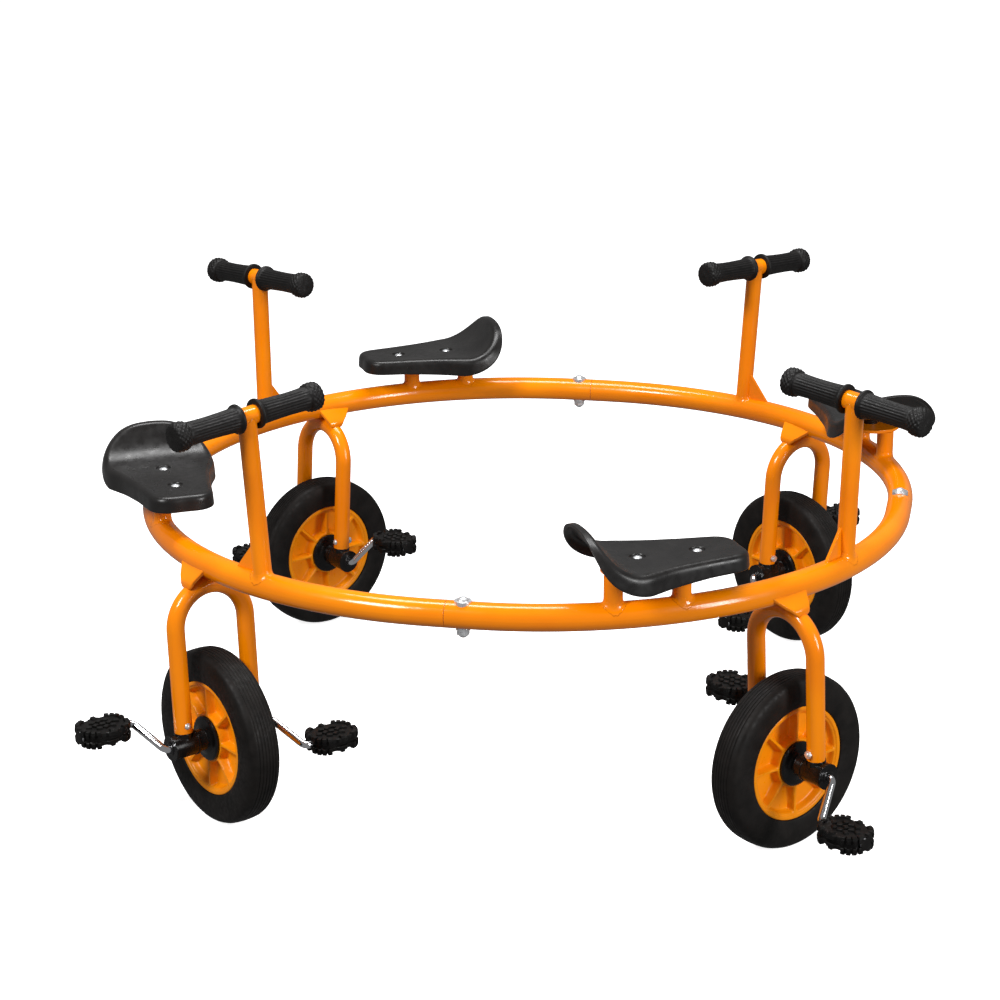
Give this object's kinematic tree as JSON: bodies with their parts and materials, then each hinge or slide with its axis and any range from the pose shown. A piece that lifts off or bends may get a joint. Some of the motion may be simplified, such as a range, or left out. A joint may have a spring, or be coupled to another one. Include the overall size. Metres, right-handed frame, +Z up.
{
  "type": "pedal merry go round",
  "caption": "Children's pedal merry-go-round: tubular steel ring standing on pedal-driven wheels, with moulded seats and T handlebars facing round the circle.",
  "frame": {"origin": "on the floor under the middle of the ring, at the middle of the bounding box's base", "axes": "+Z up, the ring's axis; +X through wheel 1, +Y through wheel 2, so the wheels stand on the axes; riders travel counter-clockwise about +Z"},
  "size_m": [1.65, 1.65, 0.7039],
  "materials": {
    "frame_paint": "gloss orange powder coat",
    "rim_plastic": "semi-gloss moulded",
    "tyre_rubber": "satin",
    "black_plastic": "semi-gloss moulded",
    "seat_plastic": "fine leather-grain moulding",
    "grip_rubber": "matt ribbed",
    "pedal_plastic": "matt tread",
    "chrome_rod": "polished",
    "zinc_fastener": "bright zinc",
    "bush_nylon": "natural"
  },
  "bodies": {
    "frame": {"bearing_blocks": "black_plastic", "bearing_bushes": "bush_nylon", "fork_0": "frame_paint", "fork_1": "frame_paint", "fork_2": "frame_paint", "fork_3": "frame_paint", "fork_bolts": "zinc_fastener", "fork_gussets": "frame_paint", "fork_nuts": "zinc_fastener", "handlebar_crossbars": "frame_paint", "handlebar_grips_0": "grip_rubber", "handlebar_grips_1": "grip_rubber", "handlebar_grips_2": "grip_rubber", "handlebar_grips_3": "grip_rubber", "handlebar_posts": "frame_paint", "post_gussets": "frame_paint", "ring_bolts": "zinc_fastener", "ring_cap_nuts": "zinc_fastener", "ring_saddle_washers": "zinc_fastener", "ring_sleeves": "zinc_fastener", "ring_tube_0": "frame_paint", "ring_tube_1": "frame_paint", "ring_tube_2": "frame_paint", "ring_tube_3": "frame_paint", "seat_0": "seat_plastic", "seat_1": "seat_plastic", "seat_2": "seat_plastic", "seat_3": "seat_plastic", "seat_bolts": "zinc_fastener", "seat_nuts": "zinc_fastener", "seat_plates": "frame_paint", "seat_stubs": "frame_paint"},
    "wheel_0": {"tyre_0": "tyre_rubber", "wheel_rim_0": "rim_plastic", "hub_flanges_0": "black_plastic", "crank_axle_0": "chrome_rod", "pedal_retainers_0": "zinc_fastener"},
    "outer_pedal_body_0": {"outer_pedal_0": "pedal_plastic"},
    "inner_pedal_body_0": {"inner_pedal_0": "pedal_plastic"},
    "wheel_1": {"tyre_1": "tyre_rubber", "wheel_rim_1": "rim_plastic", "hub_flanges_1": "black_plastic", "crank_axle_1": "chrome_rod", "pedal_retainers_1": "zinc_fastener"},
    "outer_pedal_body_1": {"outer_pedal_1": "pedal_plastic"},
    "inner_pedal_body_1": {"inner_pedal_1": "pedal_plastic"},
    "wheel_2": {"tyre_2": "tyre_rubber", "wheel_rim_2": "rim_plastic", "hub_flanges_2": "black_plastic", "crank_axle_2": "chrome_rod", "pedal_retainers_2": "zinc_fastener"},
    "outer_pedal_body_2": {"outer_pedal_2": "pedal_plastic"},
    "inner_pedal_body_2": {"inner_pedal_2": "pedal_plastic"},
    "wheel_3": {"tyre_3": "tyre_rubber", "wheel_rim_3": "rim_plastic", "hub_flanges_3": "black_plastic", "crank_axle_3": "chrome_rod", "pedal_retainers_3": "zinc_fastener"},
    "outer_pedal_body_3": {"outer_pedal_3": "pedal_plastic"},
    "inner_pedal_body_3": {"inner_pedal_3": "pedal_plastic"}
  },
  "joints": [
    {"name": "wheel_spin_0", "type": "hinge", "parent": "frame", "child": "wheel_0", "pos_m": [0, -0.615, 0.138], "axis": [0, 1, 0], "continuous": true},
    {"name": "outer_pedal_turn_0", "type": "hinge", "parent": "wheel_0", "child": "outer_pedal_body_0", "pos_m": [-0.04483, -0.7835, 0.08821], "axis": [0, 1, 0], "continuous": true},
    {"name": "inner_pedal_turn_0", "type": "hinge", "parent": "wheel_0", "child": "inner_pedal_body_0", "pos_m": [0.04483, -0.4465, 0.18779], "axis": [0, 1, 0], "continuous": true},
    {"name": "wheel_spin_1", "type": "hinge", "parent": "frame", "child": "wheel_1", "pos_m": [0.615, 0, 0.138], "axis": [-1, 0, 0], "continuous": true},
    {"name": "outer_pedal_turn_1", "type": "hinge", "parent": "wheel_1", "child": "outer_pedal_body_1", "pos_m": [0.7835, 0.0482, 0.18454], "axis": [-1, 0, 0], "continuous": true},
    {"name": "inner_pedal_turn_1", "type": "hinge", "parent": "wheel_1", "child": "inner_pedal_body_1", "pos_m": [0.4465, -0.0482, 0.09146], "axis": [-1, 0, 0], "continuous": true},
    {"name": "wheel_spin_2", "type": "hinge", "parent": "frame", "child": "wheel_2", "pos_m": [0, 0.615, 0.138], "axis": [0, -1, 0], "continuous": true},
    {"name": "outer_pedal_turn_2", "type": "hinge", "parent": "wheel_2", "child": "outer_pedal_body_2", "pos_m": [-0.04569, 0.7835, 0.089], "axis": [0, -1, 0], "continuous": true},
    {"name": "inner_pedal_turn_2", "type": "hinge", "parent": "wheel_2", "child": "inner_pedal_body_2", "pos_m": [0.04569, 0.4465, 0.187], "axis": [0, -1, 0], "continuous": true},
    {"name": "wheel_spin_3", "type": "hinge", "parent": "frame", "child": "wheel_3", "pos_m": [-0.615, 0, 0.138], "axis": [1, 0, 0], "continuous": true},
    {"name": "outer_pedal_turn_3", "type": "hinge", "parent": "wheel_3", "child": "outer_pedal_body_3", "pos_m": [-0.7835, 0.05916, 0.16945], "axis": [1, 0, 0], "continuous": true},
    {"name": "inner_pedal_turn_3", "type": "hinge", "parent": "wheel_3", "child": "inner_pedal_body_3", "pos_m": [-0.4465, -0.05916, 0.10655], "axis": [1, 0, 0], "continuous": true}
  ]
}
